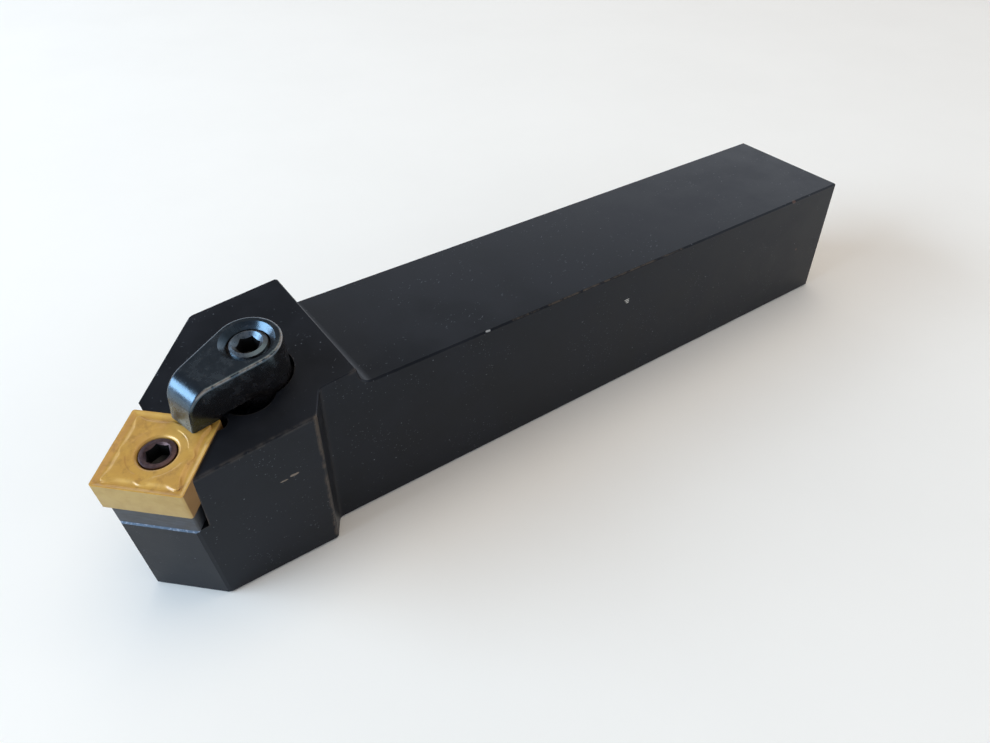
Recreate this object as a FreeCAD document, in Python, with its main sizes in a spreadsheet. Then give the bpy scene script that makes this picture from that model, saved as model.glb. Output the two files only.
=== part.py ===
import FreeCAD, Part
import os
import re
import Sketcher

# A right-hand turning tool holder with a square insert. The shank lies along X with its
# base on z = 0, the insert's nose points towards -X and the cutting side is -Y.
# The origin is on the middle line of the shank's base, where the tool post holds it.

SIZES = {
    # Shank
    "shank_width": 25.0,
    "shank_height": 25.0,
    "overall_length": 150.0,
    "origin_to_rear": 55.0,
    "edge_break": 0.3,
    "rear_break": 1.0,
    # Cutting point: its height, and its distance from the far side of the shank, both
    # set out for an insert with the gauge corner's radius
    "cutting_height": 25.0,
    "tool_offset": 31.0,
    "gauge_corner": 0.8,
    # Head: places are measured back from the nose, reliefs are angles of its side faces
    "wall_to_nose": 37.6,
    "wall_lean": 14.0,
    "wall_foot_radius": 2.0,
    "step_to_nose": 30.8,
    "step_angle": 31.0,
    "step_radius": 1.2,
    "head_offset": 28.4,
    "near_relief": 2.1,
    "front_reach": 2.5,
    "front_relief": 6.1,
    "far_reach": 5.7,
    "far_relief": 1.6,
    "head_drop": 0.3,
    "head_break": 0.15,
    # Seat: the pocket leans forward along the leading cutting edge
    "seat_turn": 225.0,
    "seat_tilt": 8.0,
    "corner_relief_radius": 1.3,
    "ledge_break": 0.4,
    "wall_end_break": 1.5,
    # Insert
    "insert_side": 12.7,
    "insert_thickness": 4.76,
    "insert_corner": 0.4,
    "insert_hole": 5.16,
    "insert_hole_break": 0.3,
    "land_width": 0.3,
    "groove_width": 1.5,
    "groove_depth": 0.2,
    "groove_slope": 35.0,
    "island_cut": 0.7,
    "bump_width": 0.9,
    "bump_reach": 0.3,
    # Shim
    "shim_side": 11.65,
    "shim_thickness": 4.76,
    "shim_corner": 0.25,
    "shim_back": 0.42,
    "shim_aside": 0.33,
    "shim_break": 0.1,
    # Lock pin
    "pin_head": 5.0,
    "pin_head_drop": 0.25,
    "pin_head_break": 0.35,
    "pin_collar": 5.9,
    "pin_thread": 5.0,
    "pin_thread_length": 11.0,
    "pin_hex": 3.0,
    "pin_hex_depth": 2.6,
    "fit_clearance": 0.05,
    "shim_clearance": 0.15,
    # Clamp: its screw axis from the insert's centre, in the plane of the seat
    "clamp_back": 15.7,
    "clamp_side": 7.85,
    "clamp_turn": 30.0,
    "clamp_top": 6.4,
    "clamp_radius": 4.85,
    "clamp_reach": 12.9,
    "clamp_nose_width": 4.9,
    "clamp_nose_radius": 3.5,
    "clamp_nose_lean": 10.0,
    "clamp_pad_length": 4.2,
    "clamp_underside": 0.9,
    "clamp_edge": 0.45,
    "clamp_countersink": 3.9,
    "rest_gap": 0.05,
    # Recess in the head round the clamp's foot, and the second cut beside its arm
    "recess_gap": 0.45,
    "recess_depth": 2.5,
    "lobe_ahead": 3.4,
    "lobe_side": 2.0,
    "lobe_radius": 4.1,
    # Clamp screw, threaded at both ends
    "screw_size": 6.0,
    "screw_top_drop": 0.35,
    "screw_length": 18.0,
    "screw_break": 0.6,
    "screw_neck": 4.8,
    "screw_neck_length": 2.0,
    "screw_hex": 3.0,
    "screw_hex_depth": 3.2,
    "hole_spare": 4.0,
}

doc = FreeCAD.newDocument("turning_tool_holder")
sheet = doc.addObject("Spreadsheet::Sheet", "Sizes")
for row, (alias, value) in enumerate(SIZES.items(), start=1):
    sheet.set("A%d" % row, alias)
    sheet.set("B%d" % row, str(value))
    sheet.setAlias("B%d" % row, alias)
doc.recompute()


def size(text):
    """An expression in which each size's own name stands for its cell."""
    def cell(match):
        word = match.group()
        return "Sizes." + word if word in SIZES else word

    return re.sub("[a-z_]+", cell, text)


def value_of(text):
    return float(sheet.evalExpression(size(text)))


# Places worked out from the sizes

HALF_WIDTH = "shank_width / 2"
NOSE_X = "( origin_to_rear - overall_length )"
# From the insert's centre to its rounded corner, along the shank and across it
CORNER_REACH = (
    "( ( insert_side / 2 - gauge_corner ) * ( 1 + cos( seat_tilt ) ) / sqrt( 2 ) + gauge_corner )"
)
CENTRE_X = "( " + NOSE_X + " + " + CORNER_REACH + " )"
CENTRE_Y = "( shank_width / 2 - tool_offset + " + CORNER_REACH + " )"
# The corner lies lower than the centre, because the seat leans forward
CORNER_DROP = "( insert_side / 2 - gauge_corner * ( 1 - 1 / sqrt( 2 ) ) ) * sin( seat_tilt )"
CENTRE_Z = "( cutting_height + " + CORNER_DROP + " )"

SEAT_TURN = "rotation( seat_turn ; seat_tilt ; 0 )"
SEAT = (
    "placement( vector( " + CENTRE_X + " ; " + CENTRE_Y + " ; " + CENTRE_Z + " ) ; "
    + SEAT_TURN + " )"
)
SHIM_TOP = (
    SEAT
    + " * placement( vector( - shim_back ; - shim_aside ; - insert_thickness ) ;"
    + " rotation( 0 ; 0 ; 0 ) )"
)
CLAMP = (
    SEAT
    + " * placement( vector( - clamp_back ; clamp_side ; - head_drop ) ;"
    + " rotation( - clamp_turn ; 0 ; 0 ) )"
)
# The holder's stock stands well above the head before its tops are cut
STOCK_HEIGHT = "( shank_height + shank_width / 2 )"
# The arm's sides are tangent to its round end, and this is their angle to its middle line
NOSE_REACH = "sqrt( pow( clamp_reach ; 2 ) + pow( clamp_nose_width / 2 ; 2 ) )"
ARM_TAPER = (
    "( asin( clamp_radius / " + NOSE_REACH + " ) - atan( clamp_nose_width / 2 / clamp_reach ) )"
)


def make_body(name, placement=None):
    body = doc.addObject("PartDesign::Body", name)
    body.Label = name
    if placement:
        body.setExpression("Placement", size(placement))
    doc.recompute()
    return body


def make_sketch(body, name, role="XY_Plane", offset=None):
    """A sketch on one of the body's own origin planes, moved by an offset if one is given."""
    sketch = body.newObject("Sketcher::SketchObject", name)
    plane = [item for item in body.Origin.OriginFeatures if item.Role == role][0]
    sketch.AttachmentSupport = [(plane, "")]
    sketch.MapMode = "FlatFace"
    if offset:
        sketch.setExpression("AttachmentOffset", size(offset))
    doc.recompute()
    return sketch


def lift(height):
    """A placement that only raises a sketch."""
    return "placement( vector( 0 ; 0 ; " + height + " ) ; rotation( 0 ; 0 ; 0 ) )"


def bind(sketch, constraint, text):
    index = sketch.addConstraint(constraint)
    sketch.setExpression("Constraints[%d]" % index, size(text))


def draw_polygon(sketch, points):
    """A closed polygon, each corner tied to its expressions for x and y."""
    corners = [FreeCAD.Vector(value_of(x), value_of(y), 0) for x, y in points]
    count = len(corners)
    first = sketch.GeometryCount
    for number in range(count):
        line = Part.LineSegment(corners[number], corners[(number + 1) % count])
        sketch.addGeometry(line, False)
    for number, (x, y) in enumerate(points):
        line = first + number
        following = first + (number + 1) % count
        sketch.addConstraint(Sketcher.Constraint("Coincident", line, 2, following, 1))
        bind(sketch, Sketcher.Constraint("DistanceX", line, 1, corners[number].x), x)
        bind(sketch, Sketcher.Constraint("DistanceY", line, 1, corners[number].y), y)


def draw_circle(sketch, x, y, radius):
    centre = FreeCAD.Vector(value_of(x), value_of(y), 0)
    ring = sketch.addGeometry(Part.Circle(centre, FreeCAD.Vector(0, 0, 1), value_of(radius)), False)
    bind(sketch, Sketcher.Constraint("DistanceX", ring, 3, centre.x), x)
    bind(sketch, Sketcher.Constraint("DistanceY", ring, 3, centre.y), y)
    bind(sketch, Sketcher.Constraint("Radius", ring, value_of(radius)), radius)


def draw_square(sketch, half):
    """A square about the sketch's origin."""
    low = "- " + half
    draw_polygon(sketch, [(low, low), (half, low), (half, half), (low, half)])


def draw_hexagon(sketch, across_flats):
    """A hexagon about the sketch's origin, by its width across flats."""
    reach = across_flats + " / ( 2 * cos( 30 ) )"
    points = []
    for number in range(6):
        angle = str(60 * number)
        points.append((reach + " * cos( " + angle + " )", reach + " * sin( " + angle + " )"))
    draw_polygon(sketch, points)


def pad(body, name, sketch, length, reversed_side=False):
    feature = body.newObject("PartDesign::Pad", name)
    feature.Profile = sketch
    feature.setExpression("Length", size(length))
    feature.Reversed = reversed_side
    doc.recompute()
    return feature


def cut(body, name, sketch, length, reversed_side=False, midplane=False):
    """A pocket, which has to take something away."""
    before = body.Shape.Volume
    feature = body.newObject("PartDesign::Pocket", name)
    feature.Profile = sketch
    feature.setExpression("Length", size(length))
    feature.Reversed = reversed_side
    if midplane:
        feature.Midplane = True
    doc.recompute()
    if not body.Shape.Volume < before - 1e-3:
        raise RuntimeError(name + " cuts nothing")
    return feature


def dress(body, kind, name, sizing, chosen):
    """A fillet or chamfer on the body's edges that the test picks."""
    base = body.Tip
    names = []
    for number, edge in enumerate(base.Shape.Edges, start=1):
        if chosen(edge):
            names.append("Edge%d" % number)
    if not names:
        raise RuntimeError(name + " finds no edge")
    feature = body.newObject("PartDesign::" + kind, name)
    feature.Base = (base, names)
    feature.setExpression("Radius" if kind == "Fillet" else "Size", size(sizing))
    doc.recompute()
    return feature


def ends(edge):
    return [vertex.Point for vertex in edge.Vertexes]


def is_upright(edge, tolerance=1e-4):
    """True for a straight edge along the body's own z."""
    points = ends(edge)
    if len(points) != 2:
        return False
    across = FreeCAD.Vector(points[1].x - points[0].x, points[1].y - points[0].y, 0)
    return across.Length < tolerance and abs(points[1].z - points[0].z) > tolerance


def is_ring(edge, radius, height, tolerance=1e-4):
    """True for a full circle of this radius at this height."""
    if not isinstance(edge.Curve, Part.Circle) or len(edge.Vertexes) > 1:
        return False
    return abs(edge.Curve.Radius - radius) < tolerance and abs(edge.Curve.Center.z - height) < tolerance


# Holder body: shank and head in one piece

def far_out(reach, relief):
    """How far a leaning side face stands out at the top of the stock."""
    return "( " + reach + " + " + STOCK_HEIGHT + " * tan( " + relief + " ) )"


NEAR_REACH = "( head_offset - shank_width / 2 )"
STEP_X = "( " + NOSE_X + " + step_to_nose )"
STEP_END_X = (
    "( " + STEP_X + " - ( " + far_out(NEAR_REACH, "near_relief") + " - shank_width / 2 )"
    " * tan( step_angle ) )"
)


def stock_outline():
    """The holder's plan at the top of the stock, where the head is widest."""
    near_y = far_out(NEAR_REACH, "near_relief")
    # The two slanting faces are lines x + y = front_sum and x - y = far_sum
    front_sum = (
        "( " + CENTRE_X + " + " + CENTRE_Y + " - " + far_out("front_reach", "front_relief")
        + " * sqrt( 2 ) )")
    far_sum = (
        "( " + CENTRE_X + " - " + CENTRE_Y + " - " + far_out("far_reach", "far_relief")
        + " * sqrt( 2 ) )")
    return [
        ("origin_to_rear", HALF_WIDTH),
        ("origin_to_rear", "- " + HALF_WIDTH),
        (STEP_X, "- " + HALF_WIDTH),
        (STEP_END_X, "- " + near_y),
        (front_sum + " + " + near_y, "- " + near_y),
        ("( " + front_sum + " + " + far_sum + " ) / 2", "( " + front_sum + " - " + far_sum + " ) / 2"),
        (far_sum + " + " + HALF_WIDTH, HALF_WIDTH),
    ]


def cut_relief(body, name, x, y, facing, reach, relief):
    """Makes a side face of the head lean out from its base upwards.

    The face looks along the angle facing in plan and stands reach away from x, y at the base.
    """
    upright = "placement( vector( " + x + " ; " + y + " ; 0 ) ; rotation( " + facing + " ; 0 ; 90 ) )"
    plan = make_sketch(body, name + "_plan", offset=upright)
    top_out = far_out(reach, relief)
    beyond = top_out + " + shank_width"
    draw_polygon(plan, [
        (reach, "0"),
        (beyond, "0"),
        (beyond, STOCK_HEIGHT),
        (top_out, STOCK_HEIGHT),
    ])
    cut(body, name, plan, "2 * overall_length", midplane=True)


def make_holder():
    body = make_body("holder_body")
    plan = make_sketch(body, "plan")
    draw_polygon(plan, stock_outline())
    pad(body, "stock", plan, STOCK_HEIGHT)
    cut_relief(body, "near_face", "0", "0", "270", NEAR_REACH, "near_relief")
    cut_relief(body, "front_face", CENTRE_X, CENTRE_Y, "225", "front_reach", "front_relief")
    cut_relief(body, "far_face", CENTRE_X, CENTRE_Y, "135", "far_reach", "far_relief")

    # The shank's top, and the leaning wall where the head rises from it
    wall_x = "( " + NOSE_X + " + wall_to_nose )"
    above = "( " + STOCK_HEIGHT + " + 1 )"
    side_view = make_sketch(body, "shank_side_view", role="XZ_Plane")
    draw_polygon(side_view, [
        ("origin_to_rear + shank_width", "shank_height"),
        (wall_x, "shank_height"),
        (wall_x + " - ( " + above + " - shank_height ) * tan( wall_lean )", above),
        ("origin_to_rear + shank_width", above),
    ])
    cut(body, "shank_top", side_view, "4 * shank_width", midplane=True)

    # The head's top is parallel to the insert and a little under it
    top_view = make_sketch(body, "head_top_view", offset=SEAT + " * " + lift("- head_drop"))
    draw_square(top_view, "overall_length / 3")
    cut(body, "head_top", top_view, STOCK_HEIGHT, reversed_side=True)

    wall_at = value_of(wall_x)
    height = value_of("shank_height")
    dress(body, "Fillet", "wall_foot", "wall_foot_radius", lambda edge: all(
        abs(point.x - wall_at) < 1e-4 and abs(point.z - height) < 1e-4 for point in ends(edge)))

    step_at = value_of(STEP_X)
    dress(body, "Fillet", "step_corner", "step_radius", lambda edge: is_upright(edge) and all(
        abs(point.x - step_at) < 1e-4 for point in ends(edge)))

    rear_at = value_of("origin_to_rear")
    dress(body, "Chamfer", "rear_edges", "rear_break", lambda edge: all(
        abs(point.x - rear_at) < 1e-4 for point in ends(edge)))
    half = value_of(HALF_WIDTH)
    step_middle = value_of("( " + STEP_X + " + " + STEP_END_X + " ) / 2")

    def is_outline(edge):
        """True for the base's outline, the shank's long top edges and the head's upright ones."""
        points = ends(edge)
        if len(points) != 2:
            return False
        if all(abs(point.z) < 1e-4 for point in points):
            return not all(point.x > rear_at - half for point in points)
        if all(abs(point.z - height) < 1e-4 and abs(abs(point.y) - half) < 1e-4 for point in points):
            return abs(points[1].x - points[0].x) > half
        return abs(points[1].z - points[0].z) > height / 2 and all(
            point.x < step_middle for point in points)

    dress(body, "Chamfer", "outline_edges", "edge_break", is_outline)
    leaning = top_view.Placement.inverse()
    dress(body, "Chamfer", "head_top_edges", "head_break", lambda edge: all(
        abs(leaning.multVec(point).z) < 1e-4 for point in ends(edge)))

    # Pocket for the insert and shim, open towards both cutting edges
    pocket_plan = make_sketch(body, "pocket_plan", offset=SEAT)
    draw_polygon(pocket_plan, [
        ("- insert_side / 2", "insert_side / 2"),
        ("- insert_side / 2", "- 2 * insert_side"),
        ("2 * insert_side", "- 2 * insert_side"),
        ("2 * insert_side", "insert_side / 2"),
    ])
    cut(body, "pocket", pocket_plan, "insert_thickness + shim_thickness")
    corner_plan = make_sketch(body, "pocket_corner_plan", offset=SEAT)
    draw_circle(
        corner_plan,
        "- insert_side / 2 + gauge_corner / 2",
        "insert_side / 2 - gauge_corner / 2",
        "corner_relief_radius")
    cut(body, "pocket_corner", corner_plan, "insert_thickness + shim_thickness")

    in_seat = pocket_plan.Placement.inverse()
    floor = value_of("- insert_thickness - shim_thickness")
    quarter = value_of("insert_side / 4")

    def is_ledge(edge):
        """True for the long edge between the pocket's floor and the front face."""
        points = [in_seat.multVec(point) for point in ends(edge)]
        if len(points) != 2 or abs(points[1].y - points[0].y) < quarter:
            return False
        return all(abs(point.z - floor) < 1e-4 and point.x > quarter for point in points)

    dress(body, "Chamfer", "ledge", "ledge_break", is_ledge)
    wall = value_of("- insert_side / 2")

    def is_wall_end(edge):
        """True for the edge where the pocket's wall comes out of the far face."""
        points = [in_seat.multVec(point) for point in ends(edge)]
        if len(points) != 2 or abs(points[1].z - points[0].z) < quarter:
            return False
        return all(abs(point.x - wall) < 1e-4 and point.y < - quarter for point in points)

    dress(body, "Chamfer", "wall_end", "wall_end_break", is_wall_end)

    pin_plan = make_sketch(body, "pin_hole_plan", offset=SEAT)
    draw_circle(pin_plan, "0", "0", "pin_thread / 2 + fit_clearance")
    cut(body, "pin_hole", pin_plan,
        "insert_thickness + shim_thickness + pin_thread_length + hole_spare")

    # Recess round the clamp's foot, and the screw's hole in its floor
    foot_plan = make_sketch(body, "recess_plan", offset=CLAMP)
    draw_circle(foot_plan, "0", "0", "clamp_radius + recess_gap")
    cut(body, "recess", foot_plan, "recess_depth")
    lobe_plan = make_sketch(body, "lobe_plan", offset=CLAMP)
    draw_circle(lobe_plan, "lobe_ahead", "lobe_side", "lobe_radius")
    cut(body, "lobe", lobe_plan, "recess_depth")
    screw_plan = make_sketch(body, "screw_hole_plan", offset=CLAMP)
    draw_circle(screw_plan, "0", "0", "screw_size / 2 + fit_clearance")
    cut(body, "screw_hole", screw_plan, "screw_length - clamp_top + screw_top_drop + hole_spare")
    return body


# Insert: a double-sided square with a moulded chip groove along each edge

def cut_chip_groove(body, name, placement):
    """A sloped groove between the narrow edge land and a raised island with side bumps."""
    before = body.Shape.Volume
    plan = make_sketch(body, name + "_plan", offset=placement)
    draw_square(plan, "( insert_side / 2 - land_width )")
    island = "( insert_side / 2 - land_width - groove_width )"
    corners = []
    for number in range(4):
        turn = str(90 * number)
        for along, out in (
            ("- ( " + island + " - island_cut )", island),
            ("- bump_width / 2 - bump_reach", island),
            ("- bump_width / 2", "( " + island + " + bump_reach )"),
            ("bump_width / 2", "( " + island + " + bump_reach )"),
            ("bump_width / 2 + bump_reach", island),
            ("( " + island + " - island_cut )", island),
        ):
            x = out + " * cos( " + turn + " ) - ( " + along + " ) * sin( " + turn + " )"
            y = out + " * sin( " + turn + " ) + ( " + along + " ) * cos( " + turn + " )"
            corners.append((x, y))
    draw_polygon(plan, corners)
    groove = body.newObject("PartDesign::Pocket", name)
    groove.Profile = plan
    groove.setExpression("Length", size("groove_depth"))
    groove.setExpression("TaperAngle", size("- groove_slope"))
    doc.recompute()
    if not body.Shape.Volume < before - 1e-3:
        raise RuntimeError(name + " cuts nothing")


def make_insert():
    body = make_body("insert", SEAT)
    plan = make_sketch(body, "plan")
    draw_square(plan, "insert_side / 2")
    pad(body, "blank", plan, "insert_thickness", reversed_side=True)
    dress(body, "Fillet", "corners", "insert_corner", is_upright)
    cut_chip_groove(body, "top_groove", lift("0"))
    under = "placement( vector( 0 ; 0 ; - insert_thickness ) ; rotation( 0 ; 0 ; 180 ) )"
    cut_chip_groove(body, "under_groove", under)
    hole_plan = make_sketch(body, "hole_plan")
    draw_circle(hole_plan, "0", "0", "insert_hole / 2")
    cut(body, "hole", hole_plan, "insert_thickness")
    radius = value_of("insert_hole / 2")
    under_side = value_of("- insert_thickness")
    dress(body, "Chamfer", "hole_edges", "insert_hole_break", lambda edge: (
        is_ring(edge, radius, 0) or is_ring(edge, radius, under_side)))
    return body


# Shim: a smaller plain square plate under the insert, a little off the insert's middle

def make_shim():
    body = make_body("shim", SHIM_TOP)
    plan = make_sketch(body, "plan")
    draw_square(plan, "shim_side / 2")
    pad(body, "blank", plan, "shim_thickness", reversed_side=True)
    dress(body, "Fillet", "corners", "shim_corner", is_upright)
    dress(body, "Chamfer", "top_edges", "shim_break", lambda edge: all(
        abs(point.z) < 1e-4 for point in ends(edge)))
    hole_plan = make_sketch(body, "hole_plan")
    draw_circle(hole_plan, "shim_back", "shim_aside", "pin_collar / 2 + shim_clearance")
    cut(body, "hole", hole_plan, "shim_thickness")
    return body


def add_cylinder(body, name, radius, top, length):
    """A round pad about the body's z axis, from a height down."""
    plan = make_sketch(body, name + "_plan", offset=lift(top))
    draw_circle(plan, "0", "0", radius)
    return pad(body, name, plan, length, reversed_side=True)


# Lock pin: its head fills the insert's hole, its collar the shim's, its thread the seat's

def make_lock_pin():
    body = make_body("lock_pin", SEAT)
    under_head = "- insert_thickness - rest_gap"
    add_cylinder(
        body, "head", "pin_head / 2", "- pin_head_drop", "insert_thickness - pin_head_drop + rest_gap")
    add_cylinder(body, "collar", "pin_collar / 2", under_head, "shim_thickness - 2 * rest_gap")
    add_cylinder(body, "thread", "pin_thread / 2", under_head, "shim_thickness + pin_thread_length")
    radius = value_of("pin_head / 2")
    top = value_of("- pin_head_drop")
    dress(body, "Chamfer", "head_edge", "pin_head_break", lambda edge: is_ring(edge, radius, top))
    hex_plan = make_sketch(body, "hex_plan", offset=lift("- pin_head_drop"))
    draw_hexagon(hex_plan, "pin_hex")
    cut(body, "hex", hex_plan, "pin_hex_depth")
    return body


# Clamp: an arm over the insert's inner corner, on a round foot about its screw

def arm_outline(start):
    """The arm's plan from a place on its middle line to the nose, with straight tapered sides."""
    half_nose = "( clamp_nose_width / 2 )"
    slope = "( ( clamp_radius / cos( " + ARM_TAPER + " ) - clamp_nose_width / 2 ) / clamp_reach )"
    half_start = "( clamp_nose_width / 2 + ( clamp_reach - ( " + start + " ) ) * " + slope + " )"
    return [
        (start, "- " + half_start),
        ("clamp_reach", "- " + half_nose),
        ("clamp_reach", half_nose),
        (start, half_start),
    ]


def make_clamp():
    body = make_body("clamp", CLAMP)
    add_cylinder(body, "foot", "clamp_radius", "clamp_top", "clamp_top + recess_depth - rest_gap")
    tangent_x = "clamp_radius * sin( " + ARM_TAPER + " )"
    arm_plan = make_sketch(body, "arm_plan", offset=lift("clamp_top"))
    draw_polygon(arm_plan, arm_outline(tangent_x))
    pad(body, "arm", arm_plan, "clamp_top - clamp_underside", reversed_side=True)
    pad_plan = make_sketch(body, "pad_plan", offset=lift("clamp_top"))
    draw_polygon(pad_plan, arm_outline("clamp_reach - clamp_pad_length"))
    pad(body, "nose_pad", pad_plan, "clamp_top - head_drop - rest_gap", reversed_side=True)

    # The nose's face leans back from its foot, and the arm's top rounds down into it
    foot = "( head_drop + rest_gap )"
    nose_x = "clamp_reach - ( clamp_top + " + foot + " ) * tan( clamp_nose_lean )"
    upright = "placement( vector( 0 ; 0 ; 0 ) ; rotation( 0 ; 0 ; 90 ) )"
    nose_view = make_sketch(body, "nose_view", offset=upright)
    draw_polygon(nose_view, [
        ("clamp_reach", "- " + foot),
        ("clamp_reach + clamp_radius", "- " + foot),
        ("clamp_reach + clamp_radius", "clamp_top"),
        (nose_x, "clamp_top"),
    ])
    cut(body, "nose_face", nose_view, "4 * clamp_radius", midplane=True)
    top = value_of("clamp_top")
    nose = value_of(nose_x)
    dress(body, "Fillet", "nose", "clamp_nose_radius", lambda edge: all(
        abs(point.z - top) < 1e-4 and abs(point.x - nose) < 1e-4 for point in ends(edge)))
    bend = value_of(nose_x + " - clamp_nose_radius * tan( 45 - clamp_nose_lean / 2 )")

    def is_rim(edge):
        points = ends(edge)
        if any(abs(point.z - top) > 1e-4 for point in points):
            return False
        return not all(abs(point.x - bend) < 1e-4 for point in points)

    dress(body, "Fillet", "rim", "clamp_edge", is_rim)
    hole_plan = make_sketch(body, "hole_plan", offset=lift("clamp_top"))
    draw_circle(hole_plan, "0", "0", "screw_size / 2 + fit_clearance")
    cut(body, "hole", hole_plan, "clamp_top + recess_depth")
    radius = value_of("screw_size / 2 + fit_clearance")
    dress(body, "Chamfer", "countersink", "clamp_countersink - screw_size / 2 - fit_clearance",
          lambda edge: is_ring(edge, radius, top))
    return body


# Clamp screw: a stud with a hexagon socket and a thread at each end of a thin neck

def make_clamp_screw():
    body = make_body("clamp_screw", CLAMP)
    top = "clamp_top - screw_top_drop"
    threaded = "( screw_length - screw_neck_length ) / 2"
    lower_top = top + " - ( screw_length + screw_neck_length ) / 2"
    add_cylinder(body, "core", "screw_neck / 2", top, "screw_length")
    add_cylinder(body, "upper_thread", "screw_size / 2", top, threaded)
    add_cylinder(body, "lower_thread", "screw_size / 2", lower_top, threaded)
    radius = value_of("screw_size / 2")
    levels = [value_of(top), value_of(top + " - screw_length")]
    dress(body, "Chamfer", "end_edges", "screw_break", lambda edge: any(
        is_ring(edge, radius, level) for level in levels))
    hex_plan = make_sketch(body, "hex_plan", offset=lift(top))
    draw_hexagon(hex_plan, "screw_hex")
    cut(body, "hex", hex_plan, "screw_hex_depth")
    return body


makers = [make_holder, make_insert, make_shim, make_lock_pin, make_clamp, make_clamp_screw]
bodies = [maker() for maker in makers]
doc.recompute()

for item in doc.Objects:
    if "Invalid" in item.State or "Error" in item.State:
        raise RuntimeError(item.Name + " did not compute: " + str(item.State))
for body in bodies:
    if body.Shape.isNull() or not body.Shape.isValid():
        raise RuntimeError(body.Label + " has no valid shape")

os.makedirs("parts", exist_ok=True)
for body in bodies:
    body.Shape.exportStep("parts/" + body.Label + ".step")
    print(body.Label, round(body.Shape.Volume, 1), len(body.Shape.Solids))
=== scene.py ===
import math

import bmesh
import bpy
from bpy.props import FloatProperty, FloatVectorProperty, PointerProperty, StringProperty
from mathutils import Matrix, Vector


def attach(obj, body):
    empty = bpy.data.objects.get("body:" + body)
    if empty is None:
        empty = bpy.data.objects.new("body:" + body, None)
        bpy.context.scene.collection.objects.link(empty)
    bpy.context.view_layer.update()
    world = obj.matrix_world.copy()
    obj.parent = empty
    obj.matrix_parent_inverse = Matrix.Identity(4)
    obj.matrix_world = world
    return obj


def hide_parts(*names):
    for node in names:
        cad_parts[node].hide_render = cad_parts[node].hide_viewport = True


bl_info = {
    "name": "Turning tool holder",
    "version": (1, 0, 0),
    "blender": (4, 5, 0),
    "location": "3D View > Sidebar > Tool holder",
    "description": "Models and finishes a right-hand turning tool holder with its insert and clamp",
    "category": "Object",
}

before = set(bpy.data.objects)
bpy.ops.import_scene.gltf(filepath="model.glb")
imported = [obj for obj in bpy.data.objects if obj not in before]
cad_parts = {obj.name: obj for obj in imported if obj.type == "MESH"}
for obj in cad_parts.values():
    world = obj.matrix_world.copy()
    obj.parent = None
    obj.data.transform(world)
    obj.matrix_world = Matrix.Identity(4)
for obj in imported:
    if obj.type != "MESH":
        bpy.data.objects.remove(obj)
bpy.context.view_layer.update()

MM = 0.001

# How near two places in a mesh have to be to count as one, and how near two points to be merged
SAME = 1e-7
MERGE = 0.001 * MM

# Where the pocket and the clamp stand: the seat leans forward, and both share its upright axis
SEAT_UP = Vector((-0.0984102, -0.0984102, 0.9902681))
SEAT_POINT = Vector((-86.38931, -9.88931, 25.85114)) * MM
SEAT_AHEAD = Vector((-0.70023, -0.70023, -0.13917))
CLAMP_POINT = Vector((-69.81546, -4.41704, 27.73908)) * MM
CLAMP_AHEAD = Vector((-0.95997, -0.25286, -0.12053))


def place_at(point, ahead):
    """A matrix for a piece that stands on the seat's upright axis and looks ahead."""
    side = SEAT_UP.cross(ahead).normalized()
    turn = Matrix((side.cross(SEAT_UP).normalized(), side, SEAT_UP.normalized())).transposed()
    return Matrix.Translation(point) @ turn.to_4x4()


SEAT = place_at(SEAT_POINT, SEAT_AHEAD)
CLAMP = place_at(CLAMP_POINT, CLAMP_AHEAD)


# Sizes and colours that a user would change


def length(name, description, millimetres):
    """A size whose default is given in millimetres."""
    return FloatProperty(name=name, description=description, default=millimetres * MM,
                         min=0.0, unit="LENGTH", precision=5)


def hex_colour(name, thing, default):
    """The colour of a thing, kept as an sRGB hex value."""
    return StringProperty(
        name=name, description="Colour of " + thing + ", as an sRGB hex value", default=default)


class InsertSizes(bpy.types.PropertyGroup):
    """Sizes of the insert."""
    side: length("Side", "Side of the square insert", 12.7)
    thickness: length("Thickness", "Thickness of the insert", 4.76)
    corner: length("Corner", "Radius of its corners", 0.4)
    hone: length("Hone", "Rounding of its cutting edges", 0.03)
    land: length("Land", "Width of the flat land along each cutting edge", 0.16)
    hole: length("Hole", "Diameter of the hole", 5.16)
    hole_mouth: length("Hole mouth", "Radius at which the hole's rounded mouth begins", 3.12)
    step: length("Step", "Radius of the arcs that face the corners", 4.0)
    step_height: length("Step height", "Height of those arcs", 0.1)


class PinSizes(bpy.types.PropertyGroup):
    """Sizes of the lock pin."""
    head: length("Head", "Diameter of the head inside the insert", 5.0)
    head_drop: length("Head drop", "How far the head lies under the insert's top", 0.25)
    collar: length("Collar", "Diameter of the collar inside the shim", 5.9)
    thread: length("Thread", "Diameter of the thread in the seat", 5.0)
    thread_length: length("Thread length", "Length of the thread in the seat", 11.0)
    pitch: length("Pitch", "Pitch of the thread", 0.8)
    shim: length("Shim", "Thickness of the shim round the collar", 4.76)
    gap: length("Gap", "Gap over and under the collar", 0.05)
    head_break: length("Head break", "Chamfer of the head", 0.22)
    collar_break: length("Collar break", "Chamfer at both ends of the collar", 0.12)
    end_break: length("End break", "Chamfer at the thread's end", 0.6)
    socket: length("Socket", "Hexagon socket across its flats", 3.0)
    socket_depth: length("Socket depth", "Depth of the hexagon socket", 2.6)


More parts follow.
